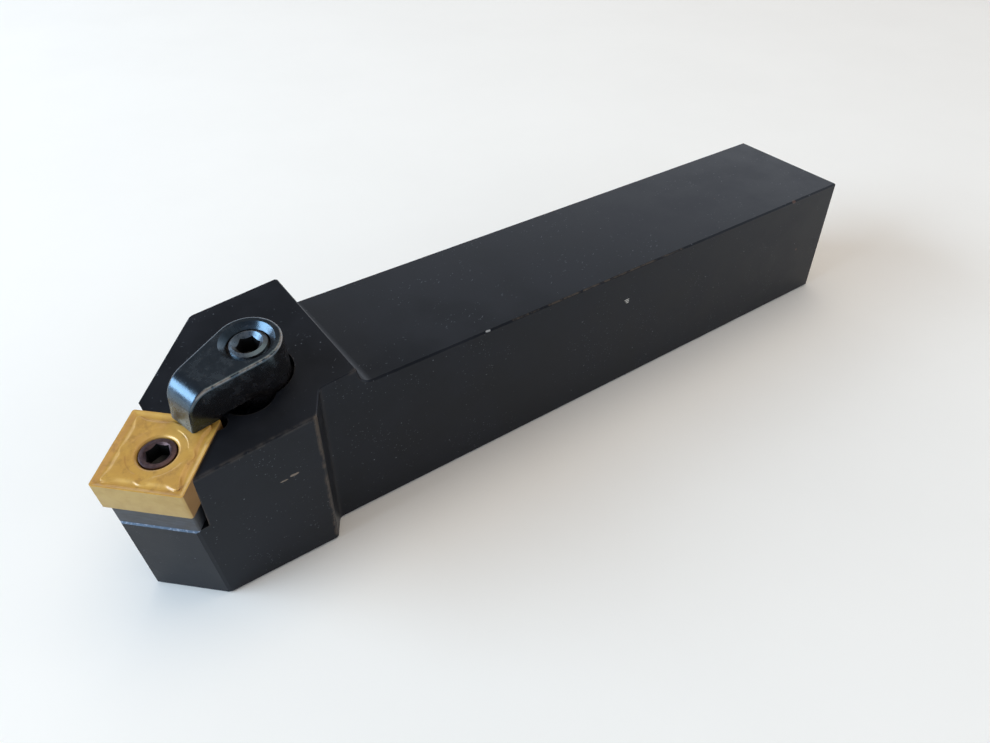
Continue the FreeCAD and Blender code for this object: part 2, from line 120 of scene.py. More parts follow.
class ScrewSizes(bpy.types.PropertyGroup):
    """Sizes of the clamp screw."""
    thread: length("Thread", "Diameter of the thread at both ends", 6.0)
    pitch: length("Pitch", "Pitch of both threads", 1.0)
    top: length("Top", "Height of the screw's top over the insert's plane", 6.05)
    full_length: length("Length", "Length of the screw", 18.0)
    neck: length("Neck", "Diameter of the thin neck between the threads", 4.7)
    neck_length: length("Neck length", "Length of the neck", 2.0)
    neck_break: length("Neck break", "Chamfer of each thread beside the neck", 0.3)
    end_break: length("End break", "Chamfer at both ends", 0.85)
    socket: length("Socket", "Hexagon socket across its flats", 3.0)
    socket_depth: length("Socket depth", "Depth of the hexagon socket", 3.2)


class Finishes(bpy.types.PropertyGroup):
    """Colours of every finish."""
    oxide: hex_colour("Black oxide", "the blackened steel body", "#0e0f12")
    pale_oxide: hex_colour("Pale oxide", "the body's lighter clouds", "#131418")
    clamp_oxide: hex_colour("Clamp oxide", "the blackened clamp", "#13100f")
    pale_clamp: hex_colour("Pale clamp oxide", "the clamp's lighter clouds", "#1b1716")
    worn_steel: hex_colour("Worn steel", "the steel on worn edges", "#8b7d6e")
    bare_steel: hex_colour("Bare steel", "bare steel in a fresh nick", "#c9c9c6")
    ledge: hex_colour("Ledge", "the ground ledge under the shim", "#56616c")
    rust: hex_colour("Rust", "the few brown spots", "#5a3f33")
    dust: hex_colour("Dust", "small light specks", "#8d9198")
    # Also the colour of the painted glints on the ground ledge
    screw_oxide: hex_colour("Screw oxide", "the worn screw", "#2b2725")
    screw_wear: hex_colour("Screw wear", "the screw's rubbed places", "#5c5249")
    pin_oxide: hex_colour("Pin oxide", "the browned lock pin", "#4b3a3c")
    pin_wear: hex_colour("Pin wear", "the pin's rubbed places", "#6d5650")
    # Painted shade in the sockets: their near-black lining and its faint clouds
    socket_shade_black: hex_colour("Socket black", "the depth of a socket", "#070708")
    socket_shade_clouds: hex_colour("Grime", "the dirt in a socket", "#121110")
    nitride: hex_colour("Nitride", "the gold coating as moulded", "#cf9f42")
    deep_nitride: hex_colour("Deep nitride", "its darker clouds", "#bd8c3a")
    ground_nitride: hex_colour("Ground nitride", "the coating on the ground sides", "#b3965b")
    deep_ground: hex_colour("Deep ground nitride", "their darker clouds", "#a78952")
    smudge: hex_colour("Smudge", "the brown smudges on the coating", "#8a5a1e")
    # Painted shade: the darker brown of the insert's side against the pocket's wall
    browned: hex_colour("Browned", "the side that heat has browned", "#6c4318")
    carbide: hex_colour("Carbide", "the bare carbide shim", "#44474c")
    brown_carbide: hex_colour("Brown carbide", "the shim's brown clouds", "#3d3b39")


class StageSettings(bpy.types.PropertyGroup):
    """Floor, light and camera."""
    lens: FloatProperty(name="Lens", description="Focal length of the camera", default=29.54, unit="CAMERA")
    floor_size: FloatProperty(name="Floor", description="Side of the pale floor", default=6.0, unit="LENGTH")
    floor_colour: hex_colour("Floor colour", "the floor", "#fff9ee")
    floor_cloud: hex_colour("Floor cloud", "the floor's faint clouds", "#fdf7ec")
    window_power: FloatProperty(name="Window", description="Power of the window light on the left",
                                default=11.3, unit="POWER")
    overhead_power: FloatProperty(name="Overhead", description="Power of the soft light overhead",
                                  default=3.9, unit="POWER")
    low_sky: FloatProperty(name="Low sky", description="Brightness of the room near the floor", default=1.28)
    high_sky: FloatProperty(name="High sky", description="Brightness of the room overhead", default=0.18)
    camera_place: FloatVectorProperty(name="Camera place", description="Where the camera stands",
                                      default=(-0.09557, -0.09612, 0.10149), subtype="XYZ_LENGTH")


# Shader helpers


def linear(hex_value):
    """An sRGB hex value as linear red, green, blue and alpha."""
    parts = [int(hex_value[start:start + 2], 16) / 255 for start in (1, 3, 5)]
    return tuple(c / 12.92 if c <= 0.04045 else ((c + 0.055) / 1.055) ** 2.4 for c in parts) + (1.0,)


def add_node(tree, kind, settings=None, links=None):
    """Adds a node, sets its fields and sockets, and links sockets of earlier nodes to it."""
    node = tree.nodes.new(kind)
    for key, value in (settings or {}).items():
        if isinstance(key, str) and key in node.bl_rna.properties:
            setattr(node, key, value)
    for key, value in (settings or {}).items():
        if not (isinstance(key, str) and key in node.bl_rna.properties):
            node.inputs[key].default_value = value
    for key, source in (links or {}).items():
        tree.links.new(source, node.inputs[key])
    return node


def per_mm(millimetres):
    """A texture scale whose features are this many millimetres apart."""
    return 1.0 / (millimetres * MM)


def new_material(name):
    """A material with an output and a Principled shader, and its Object coordinates."""
    material = bpy.data.materials.new(name)
    material.use_nodes = True
    tree = material.node_tree
    tree.nodes.clear()
    shader = add_node(tree, "ShaderNodeBsdfPrincipled")
    add_node(tree, "ShaderNodeOutputMaterial", links={"Surface": shader.outputs[0]})
    place = add_node(tree, "ShaderNodeTexCoord").outputs["Object"]
    return material, tree, shader, place


def patches(tree, place, apart, low, high, detail=4.0):
    """Cloudy patches this many millimetres apart, eased from nothing to full between two levels."""
    cloud = add_node(tree, "ShaderNodeTexNoise", {
        "Scale": per_mm(apart), "Detail": detail, "Roughness": 0.6}, {"Vector": place}).outputs["Fac"]
    return add_node(tree, "ShaderNodeMapRange", {
        "interpolation_type": "SMOOTHSTEP", "From Min": low, "From Max": high}, {
        "Value": cloud}).outputs[0]


def drawn_out(tree, place, along, stretch):
    """Coordinates that draw a pattern out along a direction."""
    return add_node(tree, "ShaderNodeMapping", {
        "vector_type": "TEXTURE", "Rotation": tuple(Vector(along).to_track_quat("X", "Z").to_euler()),
        "Scale": (stretch, 1.0, 1.0)}, {"Vector": place}).outputs[0]


def streaks(tree, place, along, stretch, apart, low, high):
    """Patches drawn out along a direction, for grinding lines."""
    return patches(tree, drawn_out(tree, place, along, stretch), apart, low, high, 2.0)


def specks(tree, place, apart, radius, share):
    """Small round specks: one in a share of the cells of a Voronoi pattern."""
    cells = add_node(tree, "ShaderNodeTexVoronoi", {"Scale": per_mm(apart)}, {"Vector": place})
    near = add_node(tree, "ShaderNodeMapRange", {
        "From Min": radius / apart, "From Max": 0.4 * radius / apart}, {"Value": cells.outputs["Distance"]})
    lot = add_node(tree, "ShaderNodeSeparateColor", links={0: cells.outputs["Color"]}).outputs[0]
    picked = add_node(tree, "ShaderNodeMath", {"operation": "LESS_THAN", 1: share}, {0: lot}).outputs[0]
    return add_node(tree, "ShaderNodeMath", {"operation": "MULTIPLY"}, {
        0: near.outputs[0], 1: picked}).outputs[0]


def rubbed_edges(tree, place, radius, patch, low, high):
    """Where edges have lost their finish: a softened normal leaves the true one there, in patches."""
    soft = add_node(tree, "ShaderNodeBevel", {"samples": 8, "Radius": radius * MM}).outputs[0]
    true = add_node(tree, "ShaderNodeNewGeometry").outputs["Normal"]
    same = add_node(tree, "ShaderNodeVectorMath", {"operation": "DOT_PRODUCT"}, {
        0: soft, 1: true}).outputs["Value"]
    edge = add_node(tree, "ShaderNodeMapRange", {
        "From Min": 1.0 - low, "From Max": 1.0 - high}, {"Value": same}).outputs[0]
    worn = patches(tree, place, patch, 0.38, 0.62)
    return add_node(tree, "ShaderNodeMath", {"operation": "MULTIPLY"}, {0: edge, 1: worn}).outputs[0]


def facing(tree, way, nothing, full):
    """Where the surface looks a way, from nothing at one share of it to full at another."""
    normal = add_node(tree, "ShaderNodeNewGeometry").outputs["Normal"]
    along = add_node(tree, "ShaderNodeVectorMath", {"operation": "DOT_PRODUCT", 1: way}, {0: normal})
    return add_node(tree, "ShaderNodeMapRange", {"From Min": nothing, "From Max": full}, {
        "Value": along.outputs["Value"]}).outputs[0]


def blemish(tree, place, spot, reach):
    """One nick or chip of uneven outline: its spot and how far it reaches each way, in millimetres."""
    rough = add_node(tree, "ShaderNodeTexNoise", {"Scale": per_mm(1.6 * min(reach))}, {
        "Vector": place}).outputs["Fac"]
    offset = add_node(tree, "ShaderNodeVectorMath", {
        "operation": "SUBTRACT", 1: Vector(spot) * MM}, {0: place})
    shares = add_node(tree, "ShaderNodeVectorMath", {"operation": "DIVIDE", 1: Vector(reach) * MM}, {
        0: offset.outputs[0]})
    away = add_node(tree, "ShaderNodeVectorMath", {"operation": "LENGTH"}, {
        0: shares.outputs[0]}).outputs["Value"]
    uneven = add_node(tree, "ShaderNodeMath", {"operation": "ADD"}, {0: rough, 1: away}).outputs[0]
    return add_node(tree, "ShaderNodeMapRange", {"From Min": 1.5, "From Max": 1.2}, {
        "Value": uneven}).outputs[0]


def worn_line(tree, place, start, end, reach):
    """Patchy wear along an edge between two points given in millimetres."""
    along = (Vector(end) - Vector(start)) * MM
    from_start = add_node(tree, "ShaderNodeVectorMath", {"operation": "SUBTRACT", 1: Vector(start) * MM}, {
        0: place}).outputs[0]
    share = add_node(tree, "ShaderNodeVectorMath", {
        "operation": "DOT_PRODUCT", 1: along / along.length_squared}, {0: from_start}).outputs["Value"]
    kept = add_node(tree, "ShaderNodeClamp", links={0: share}).outputs[0]
    nearest = add_node(tree, "ShaderNodeVectorMath", {"operation": "SCALE", 0: along}, {
        "Scale": kept}).outputs[0]
    away = add_node(tree, "ShaderNodeVectorMath", {"operation": "DISTANCE"}, {0: from_start, 1: nearest})
    band = add_node(tree, "ShaderNodeMapRange", {"From Min": reach * MM, "From Max": 0.3 * reach * MM}, {
        "Value": away.outputs["Value"]}).outputs[0]
    return add_node(tree, "ShaderNodeMath", {"operation": "MULTIPLY"}, {
        0: band, 1: patches(tree, place, 1.6, 0.38, 0.6)}).outputs[0]


def most(tree, marks):
    """The strongest of several marks at each point."""
    strongest = marks[0]
    for mark in marks[1:]:
        strongest = add_node(tree, "ShaderNodeMath", {"operation": "MAXIMUM"}, {
            0: strongest, 1: mark}).outputs[0]
    return strongest


def painted(tree, ground, coats):
    """A ground colour with further colours over it, each where its own share says and up to its cover."""
    under = None
    for share, cover, colour in coats:
        covered = add_node(tree, "ShaderNodeMath", {"operation": "MULTIPLY", 1: cover}, {
            0: share}).outputs[0]
        settings = {"data_type": "RGBA", 7: linear(colour)}
        links = {0: covered}
        if under:
            links[6] = under
        else:
            settings[6] = linear(ground)
        under = add_node(tree, "ShaderNodeMix", settings, links).outputs[2]
    return under


def finish_with(tree, shader, colour, share, smooth, rough, relief, strength, height):
    """Links a colour, a roughness between two values and a fine relief to the shader."""
    tree.links.new(colour, shader.inputs["Base Color"])
    roughness = add_node(tree, "ShaderNodeMapRange", {"To Min": smooth, "To Max": rough}, {"Value": share})
    tree.links.new(roughness.outputs[0], shader.inputs["Roughness"])
    bump = add_node(tree, "ShaderNodeBump", {"Strength": strength, "Distance": height * MM}, {
        "Height": relief})
    tree.links.new(bump.outputs[0], shader.inputs["Normal"])


# Finishes, each named for the real material, and the painted shade in the sockets


# Marks on the body, each a spot and its reach each way, in millimetres
NICKS = (
    ((-4.35, -12.5, 18.85), (0.7, 0.5, 0.11)),
    ((-4.2, -12.5, 18.5), (0.55, 0.5, 0.12)),
    ((-4.05, -12.5, 18.15), (0.35, 0.5, 0.12)),
    ((-35.0, -12.4, 24.9), (0.5, 0.25, 0.16)),
)
SCUFFS = (
    ((-71.3, -16.56, 18.0), (0.9, 0.5, 0.24)),
    ((-72.9, -16.56, 17.7), (0.7, 0.5, 0.14)),
)
RUST_SPOTS = (
    ((40.7, -12.5, 24.9), (0.6, 0.5, 0.5)),
    ((46.0, -12.5, 12.0), (0.3, 0.3, 0.3)),
)

# Worn edges of the body, each from its start to its end and how wide, in millimetres
WORN_EDGES = (
    ((-66.85, -16.8, 26.7), (-66.3, -15.8, 0.2), 0.6),
    ((-30.0, -12.4, 24.95), (9.0, -12.4, 24.95), 0.25),
)
DULLED_EDGES = (
    ((-84.3, -16.75, 25.0), (-66.9, -16.75, 26.7), 0.5),
    ((-66.7, -16.6, 26.75), (-58.4, -12.4, 28.0), 0.6),
)

# The way that only the ground ledge under the shim faces, and those of scratches and grinding lines
LEDGE_WAY = (-0.557, -0.557, 0.615)
SCRATCH_WAYS = ((1.0, 0.7, 0.1), (1.0, -0.5, 0.3), (0.2, 1.0, 0.4))
SHANK_WAY = (1.0, 0.0, 0.0)
ALONG_SHIM = (0.7, -0.7, 0.0)

# A sky-blue room shows in the gloss of the black finishes
ROOM_BLUE = (0.5, 0.78, 1.0, 1.0)
PALE_ROOM_BLUE = (0.74, 0.84, 1.0, 1.0)
NO_TINT = (1.0, 1.0, 1.0, 1.0)

# Refractive indices: an oiled satin oxide, a glossy oxide, a polished thick one, and a bare metal's default
SATIN_INDEX = 1.33
GLOSSY_INDEX = 1.85
THICK_INDEX = 2.1
METAL_INDEX = 1.5


def black_oxide(colours):
    """Milled alloy steel, blackened and oiled: near black, satin, with pale specks and a few nicks.

    Its milling lines are drawn coarser than real ones, so that they show.
    """
    material, tree, shader, place = new_material("black_oxide_alloy_steel")
    strewn = add_node(tree, "ShaderNodeMath", {"operation": "MULTIPLY"}, {
        0: specks(tree, place, 0.55, 0.08, 0.35), 1: patches(tree, place, 5.0, 0.52, 0.62)}).outputs[0]
    dust = most(tree, [specks(tree, place, 2.6, 0.14, 0.9), strewn])
    flecks = most(tree, [specks(tree, drawn_out(tree, place, along, 7.0), 0.5, 0.07, 0.45)
                         for along in SCRATCH_WAYS])
    scratches = add_node(tree, "ShaderNodeMath", {"operation": "MULTIPLY"}, {
        0: flecks, 1: patches(tree, place, 8.0, 0.48, 0.58)}).outputs[0]
    clouds = patches(tree, place, 9.0, 0.35, 0.65)
    ledge = facing(tree, LEDGE_WAY, 0.985, 0.995)
    nick = most(tree, [blemish(tree, place, *mark) for mark in NICKS])
    scuffs = most(tree, [blemish(tree, place, *mark) for mark in SCUFFS])
    # Painted glints: lighter spots in the dust colour on the ground ledge, standing in for its sparkle
    glints = add_node(tree, "ShaderNodeMath", {"operation": "MULTIPLY"}, {
        0: ledge, 1: patches(tree, place, 0.5, 0.5, 0.62)}).outputs[0]
    spots = [blemish(tree, place, *mark) for mark in RUST_SPOTS]
    rust = most(tree, [specks(tree, place, 7.0, 0.2, 0.12)] + spots)
    rubbed = add_node(tree, "ShaderNodeMath", {"operation": "MULTIPLY", 1: 0.45}, {
        0: rubbed_edges(tree, place, 0.35, 2.2, 0.03, 0.22)}).outputs[0]
    edges = most(tree, [rubbed] + [worn_line(tree, place, *edge) for edge in WORN_EDGES])
    dulled = most(tree, [worn_line(tree, place, *edge) for edge in DULLED_EDGES])
    colour = painted(tree, colours.oxide, [
        (clouds, 1.0, colours.pale_oxide), (scratches, 0.3, colours.dust), (dust, 0.4, colours.dust),
        (dulled, 0.1, colours.worn_steel), (edges, 0.42, colours.worn_steel), (rust, 0.7, colours.rust),
        (scuffs, 0.7, colours.worn_steel), (nick, 1.0, colours.bare_steel), (ledge, 0.95, colours.ledge),
        (glints, 0.6, colours.dust)])
    grain = patches(tree, place, 0.25, 0.2, 0.8, 2.0)
    lines = streaks(tree, place, SHANK_WAY, 40.0, 0.18, 0.2, 0.8)
    relief = add_node(tree, "ShaderNodeMath", {"operation": "MULTIPLY_ADD", 1: 0.6}, {
        0: lines, 2: grain}).outputs[0]
    finish_with(tree, shader, colour, clouds, 0.34, 0.42, relief, 0.12, 0.02)
    metal = most(tree, [edges, nick, ledge])
    tree.links.new(metal, shader.inputs["Metallic"])
    shader.inputs["IOR"].default_value = SATIN_INDEX
    shader.inputs["Specular Tint"].default_value = PALE_ROOM_BLUE
    return material


def clamp_oxide(colours):
    """Forged and tumbled steel, blackened: half gloss, with its rounded rim rubbed to bare steel."""
    material, tree, shader, place = new_material("black_oxide_forged_steel")
    offset = add_node(tree, "ShaderNodeVectorMath", {"operation": "SUBTRACT", 1: CLAMP_POINT}, {0: place})
    crossed = add_node(tree, "ShaderNodeVectorMath", {"operation": "CROSS_PRODUCT", 1: SEAT_UP}, {
        0: offset.outputs[0]})
    off_axis = add_node(tree, "ShaderNodeVectorMath", {"operation": "LENGTH"}, {0: crossed.outputs[0]})
    outside = add_node(tree, "ShaderNodeMapRange", {"From Min": 4.1 * MM, "From Max": 4.3 * MM}, {
        "Value": off_axis.outputs["Value"]}).outputs[0]
    # The worn rim leans outwards, neither level nor upright, on the near side and outside the recess
    near_side = (CLAMP.col[1].xyz - 0.6 * CLAMP.col[0].xyz).normalized()
    rim = patches(tree, place, 1.2, 0.35, 0.6)
    for share in (facing(tree, SEAT_UP, 0.985, 0.93), facing(tree, SEAT_UP, 0.2, 0.45),
                  facing(tree, near_side, 0.0, 0.35), outside):
        rim = add_node(tree, "ShaderNodeMath", {"operation": "MULTIPLY"}, {0: rim, 1: share}).outputs[0]
    clouds = patches(tree, place, 1.6, 0.4, 0.7)
    rubs = patches(tree, place, 0.35, 0.58, 0.75)
    colour = painted(tree, colours.clamp_oxide, [
        (clouds, 1.0, colours.pale_clamp), (rubs, 0.12, colours.worn_steel),
        (rim, 0.8, colours.worn_steel)])
    finish_with(tree, shader, colour, clouds, 0.2, 0.32, patches(tree, place, 0.5, 0.2, 0.8), 0.2, 0.03)
    shader.inputs["IOR"].default_value = GLOSSY_INDEX
    shader.inputs["Specular Tint"].default_value = ROOM_BLUE
    return material


def socket_steel(name, colour, worn, smooth, rough, metal, index, sheen):
    """Turned screw steel, browned or blackened by heat treatment and rubbed by the key, with oil's sheen."""
    material, tree, shader, place = new_material(name)
    edges = rubbed_edges(tree, place, 0.2, 0.5, 0.06, 0.35)
    clouds = patches(tree, place, 0.5, 0.35, 0.7)
    finish_with(tree, shader, painted(tree, colour, [(clouds, 0.5, worn), (edges, 1.0, worn)]), clouds,
                smooth, rough, patches(tree, place, 0.12, 0.2, 0.8), 0.15, 0.02)
    shader.inputs["Metallic"].default_value = metal
    shader.inputs["IOR"].default_value = index
    shader.inputs["Specular Tint"].default_value = sheen
    return material


def nitride_coat(name, colours, colour, deep, smooth, rough, grain_mm, metal, coat, smudged):
    """Carbide with a gold nitride coating: a soft metallic sheen over the pressed or ground grain.

    The grain is drawn coarser than a real one, so that it shows.
    """
    material, tree, shader, place = new_material(name)
    clouds = patches(tree, place, 2.4, 0.35, 0.65)
    grain = patches(tree, place, grain_mm, 0.2, 0.8, 2.0)
    # Painted shade: the side against the pocket's wall is painted a darker brown, where it lies in shade
    browned = facing(tree, SEAT.col[1].xyz, 0.8, 0.95)
    smudges = patches(tree, place, 1.5, 0.5, 0.7)
    coating = painted(tree, colour, [
        (clouds, 0.6, deep), (smudges, smudged, colours.smudge), (browned, 0.75, colours.browned)])
    finish_with(tree, shader, coating, clouds, smooth, rough, grain, 0.1, 0.01)
    shader.inputs["Metallic"].default_value = metal
    shader.inputs["Coat Weight"].default_value = coat
    shader.inputs["Coat Roughness"].default_value = 0.24
    return material


def painted_socket_shade(name, colours):
    """Painted shade deep in a socket: a near-black, dull lining with faint clouds."""
    material, tree, shader, place = new_material(name)
    socket_shade_clouds = patches(tree, place, 0.3, 0.3, 0.7)
    lining = painted(tree, colours.socket_shade_black, [(socket_shade_clouds, 1.0, colours.socket_shade_clouds)])
    finish_with(tree, shader, lining, socket_shade_clouds, 0.45, 0.6, socket_shade_clouds, 0.1, 0.01)
    return material


def ground_carbide(colours):
    """Sintered carbide with ground faces: mid grey and matt, with grinding lines.

    The lines are drawn coarser than real ones, so that they show.
    """
    material, tree, shader, place = new_material("ground_carbide")
    lines = streaks(tree, place, ALONG_SHIM, 25.0, 0.15, 0.3, 0.7)
    clouds = patches(tree, place, 1.5, 0.35, 0.65)
    ground = painted(tree, colours.carbide, [(clouds, 0.5, colours.brown_carbide)])
    finish_with(tree, shader, ground, lines, 0.42, 0.56, lines, 0.15, 0.01)
    shader.inputs["Metallic"].default_value = 0.4
    return material


# Modelling helpers


def begin(name, primitive, **settings):
    """Adds a primitive as a new piece and opens it in edit mode."""
    bpy.ops.object.select_all(action="DESELECT")
    primitive(**settings)
    piece = bpy.context.object
    piece.name = name
    piece.data.name = name
    bpy.ops.object.mode_set(mode="EDIT")
    return piece


def close_edit():
    """Leaves edit mode."""
    bpy.ops.object.mode_set(mode="OBJECT")


def apply_place():
    """Works a new piece's place, turn and scale into its mesh, and opens it again."""
    close_edit()
    bpy.ops.object.transform_apply(location=True, rotation=True, scale=True)
    bpy.ops.object.mode_set(mode="EDIT")


def choose(piece, kind, test):
    """Selects the points, edges or faces of the piece in edit mode for which the test holds."""
    bpy.ops.mesh.select_mode(type=kind)
    bpy.ops.mesh.select_all(action="DESELECT")
    mesh = bmesh.from_edit_mesh(piece.data)
    items = {"VERT": mesh.verts, "EDGE": mesh.edges, "FACE": mesh.faces}[kind]
    found = [item for item in items if test(item)]
    if not found:
        raise RuntimeError(piece.name + " has nothing to choose")
    for item in found:
        item.select_set(True)
    bmesh.update_edit_mesh(piece.data)
    return found


def grow(scale, rise):
    """Extrudes what is selected, scales it in plan and raises it."""
    bpy.ops.mesh.extrude_region_move(TRANSFORM_OT_translate={"value": (0.0, 0.0, rise)})
    bpy.ops.transform.resize(value=(scale, scale, 1.0))


def push(piece, spot, move, reach):
    """Drags the point nearest a spot, and its neighbours with it less and less out to a reach."""
    mesh = bmesh.from_edit_mesh(piece.data)
    nearest = min(mesh.verts, key=lambda vert: (vert.co - spot).length)
    choose(piece, "VERT", lambda vert: (vert.co - nearest.co).length < SAME)
    bpy.ops.transform.translate(value=move, use_proportional_edit=True,
                                proportional_edit_falloff="SMOOTH", proportional_size=reach)


# Angles under which neighbouring faces are shaded as one, in degrees
SMOOTH_UNDER = 30.0
INSERT_SMOOTH_UNDER = 38.0


def settle(piece, matrix, body, node, angle):
    """Places a finished piece, smooths it and lets it stand for its node."""
    if piece.mode == "EDIT":
        close_edit()
    bpy.ops.object.select_all(action="DESELECT")
    piece.select_set(True)
    bpy.context.view_layer.objects.active = piece
    piece.matrix_world = matrix
    bpy.ops.object.transform_apply(location=True, rotation=True, scale=True)
    bpy.ops.object.shade_smooth_by_angle(angle=math.radians(angle))
    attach(piece, body)
    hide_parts(node)


def shape_with(piece, kind, **settings):
    """Adds a modifier with its settings and applies it."""
    bpy.context.view_layer.objects.active = piece
    modifier = piece.modifiers.new(kind.lower(), kind)
    for key, value in settings.items():
        setattr(modifier, key, value)
    bpy.ops.object.modifier_apply(modifier=modifier.name)


def combine(piece, tool, operation):
    """Joins, cuts or keeps the overlap of a piece with a tool piece, which is used up."""
    shape_with(piece, "BOOLEAN", object=tool, operation=operation, solver="EXACT")
    bpy.data.objects.remove(tool)


# The insert


# The chip groove from the land inwards, as reach and level in millimetres
GROOVE = (
    (6.1, -0.03), (5.97, -0.1), (5.83, -0.17), (5.68, -0.225), (5.53, -0.255), (5.38, -0.262),
    (5.23, -0.248), (5.1, -0.21), (4.98, -0.155), (4.87, -0.095), (4.77, -0.045), (4.67, -0.01),
    (4.56, 0.008), (4.4, 0.015),
)

# Drags on the island's rim at each side: the spot in plan, the move and the reach, in millimetres
CORNER_FINGER = ((4.48, 4.48), (0.6, 0.6, 0.0), 1.3)
SIDE_LOBE = ((4.48, 0.0), (0.5, 0.0, -0.08), 1.25)
LOBE_SLOPE = ((4.98, 0.0), (0.0, 0.0, -0.05), 1.6)

# The small step of the arcs, as millimetres out from its middle and the share of its height gone
ARC_FORM = ((0.12, 0.0), (0.04, 0.2), (-0.04, 0.8), (-0.12, 1.0))

# The hole's rounded mouth, as millimetres in from its start and down from the ring
MOUTH_FORM = ((0.0, 0.0), (0.12, 0.03), (0.24, 0.09), (0.36, 0.19), (0.46, 0.32))
HOLE_START = 0.5

# How much of the arcs is gone, by degrees away from the nearest diagonal
ARC_FADES = ((25, 28, 0.3), (28, 31, 0.7), (31, 46, 1.0))

# How near a point lies to a ring's radius to belong to it, in millimetres
RING_WIDTH = 0.03

# Fineness of the sides and corners, and a length between a corner's and a side's
SIDE_CUTS = 51
CORNER_CUTS = 6
LONG_EDGE = 5 * MM


def off_diagonal(spot):
    """How many degrees a direction in plan is away from the nearest diagonal."""
    return abs(math.degrees(math.atan2(spot.y, spot.x)) % 90 - 45)


def make_insert(sizes):
    """Half of the insert is pressed from a block and mirrored, with its middle at the origin."""
    top = sizes.thickness / 2
    half = sizes.side / 2
    piece = begin("coated_insert", bpy.ops.mesh.primitive_cube_add, size=1.0,
                  location=(0.0, 0.0, top / 2), scale=(sizes.side, sizes.side, top))
    apply_place()
    choose(piece, "FACE", lambda face: face.normal.z < -0.9)
    bpy.ops.mesh.delete(type="FACE")
    choose(piece, "EDGE", lambda edge: abs(edge.verts[0].co.z - edge.verts[1].co.z) > top / 2)
    bpy.ops.mesh.bevel(offset=sizes.corner, segments=CORNER_CUTS, affect="EDGES")
    choose(piece, "EDGE", lambda edge: edge.calc_length() > LONG_EDGE and all(
        vert.co.z > top / 2 for vert in edge.verts))
    bpy.ops.mesh.subdivide(number_cuts=SIDE_CUTS)
    choose(piece, "FACE", lambda face: face.normal.z > 0.9)
    bpy.ops.mesh.inset(thickness=sizes.land, depth=0.0)

    # The groove: a steep outer wall, a rounded floor and a long slope up to the island
    width, height = half / MM - sizes.land / MM, 0.0
    for reach, level in GROOVE:
        grow(reach / width, (level - height) * MM)
        width, height = reach, level

    # Fingers towards the corners and rounded lobes in the middle of the sides
    level = top + height * MM
    for turn in range(4):
        quarter = Matrix.Rotation(math.radians(90 * turn), 3, "Z")
        for (across, aside), move, reach in (CORNER_FINGER, SIDE_LOBE, LOBE_SLOPE):
            spot = quarter @ Vector((across * MM, aside * MM, level))
            push(piece, spot, quarter @ (Vector(move) * MM), reach * MM)

    # The round middle: arcs that face the corners, a flat ring and the hole's rounded mouth
    choose(piece, "FACE", lambda face: len(face.verts) > 40 and face.normal.z > 0.5)
    mouth, hole = sizes.hole_mouth / MM, sizes.hole / 2 / MM
    step, drop = sizes.step / MM, sizes.step_height / MM
    rings = [(step + out, -gone * drop) for out, gone in ARC_FORM]
    rings += [(mouth - inwards, -drop - down) for inwards, down in MOUTH_FORM]
    rings += [(hole, -drop - HOLE_START)]
    bpy.ops.mesh.extrude_region_move(TRANSFORM_OT_translate={"value": (0.0, 0.0, 0.0)})
    bpy.ops.transform.tosphere(value=1.0)
    mesh = bmesh.from_edit_mesh(piece.data)
    ring = [vert for vert in mesh.verts if vert.select]
    middle_level = sum(vert.co.z for vert in ring) / len(ring)
    bpy.ops.transform.resize(value=(1.0, 1.0, 0.0))
    bpy.ops.transform.translate(value=(0.0, 0.0, level - middle_level))
    radius = sum(vert.co.xy.length for vert in ring) / len(ring)
    bpy.ops.transform.resize(value=(rings[0][0] * MM / radius, rings[0][0] * MM / radius, 1.0))
    for (last_reach, last_level), (reach, ring_level) in zip(rings, rings[1:]):
        grow(reach / last_reach, (ring_level - last_level) * MM)
    bpy.ops.mesh.extrude_region_move(TRANSFORM_OT_translate={"value": (0.0, 0.0, 0.0)})
    mesh = bmesh.from_edit_mesh(piece.data)
    inner_level = max(vert.co.z for vert in mesh.verts if vert.select)
    bpy.ops.transform.translate(value=(0.0, 0.0, -inner_level))
    bpy.ops.mesh.delete(type="FACE")

    # The arcs fade out between the corners, where the round middle runs level into the island
    for reach, ring_level in rings[:3]:
        for low, high, part in ARC_FADES:
            choose(piece, "VERT", lambda vert: abs(vert.co.xy.length / MM - reach) < RING_WIDTH
                   and vert.co.z > top / 2 and low <= off_diagonal(vert.co) < high)
            bpy.ops.transform.translate(value=(0.0, 0.0, -part * (drop + ring_level) * MM))

    # The cutting edges are honed
    choose(piece, "EDGE", lambda edge: all(
        abs(vert.co.z - top) < SAME and max(abs(vert.co.x), abs(vert.co.y)) > half - sizes.corner - MERGE
        for vert in edge.verts) and len(edge.link_faces) == 2 and any(
            abs(face.normal.z) < 0.1 for face in edge.link_faces))
    bpy.ops.mesh.bevel(offset=sizes.hone, segments=2, affect="EDGES")
    close_edit()
    shape_with(piece, "MIRROR", use_axis=(False, False, True), use_clip=True, merge_threshold=MERGE)
    bpy.ops.object.mode_set(mode="EDIT")
    bpy.ops.mesh.select_all(action="SELECT")
    bpy.ops.mesh.remove_doubles(threshold=MERGE)
    bpy.ops.mesh.normals_make_consistent(inside=False)
    return piece


# Screws


# A standard thread's depth as a share of its pitch, and its flank as shares of pitch and of depth,
# where the shares of pitch are eighths, so that seven cuts make their points
THREAD_DEPTH = 0.6134
THREAD_FORM = ((0.125, 0.0), (0.25, 0.34), (0.375, 0.72), (0.5, 1.0))
PROFILE_CUTS = 7
TURN_STEPS = 36

# Turns by which a thread starts before its rod, uneven so that no ring of points meets the cut,
# and turns more than the rod is long
RUN_IN = 1.513
SPARE_TURNS = 3

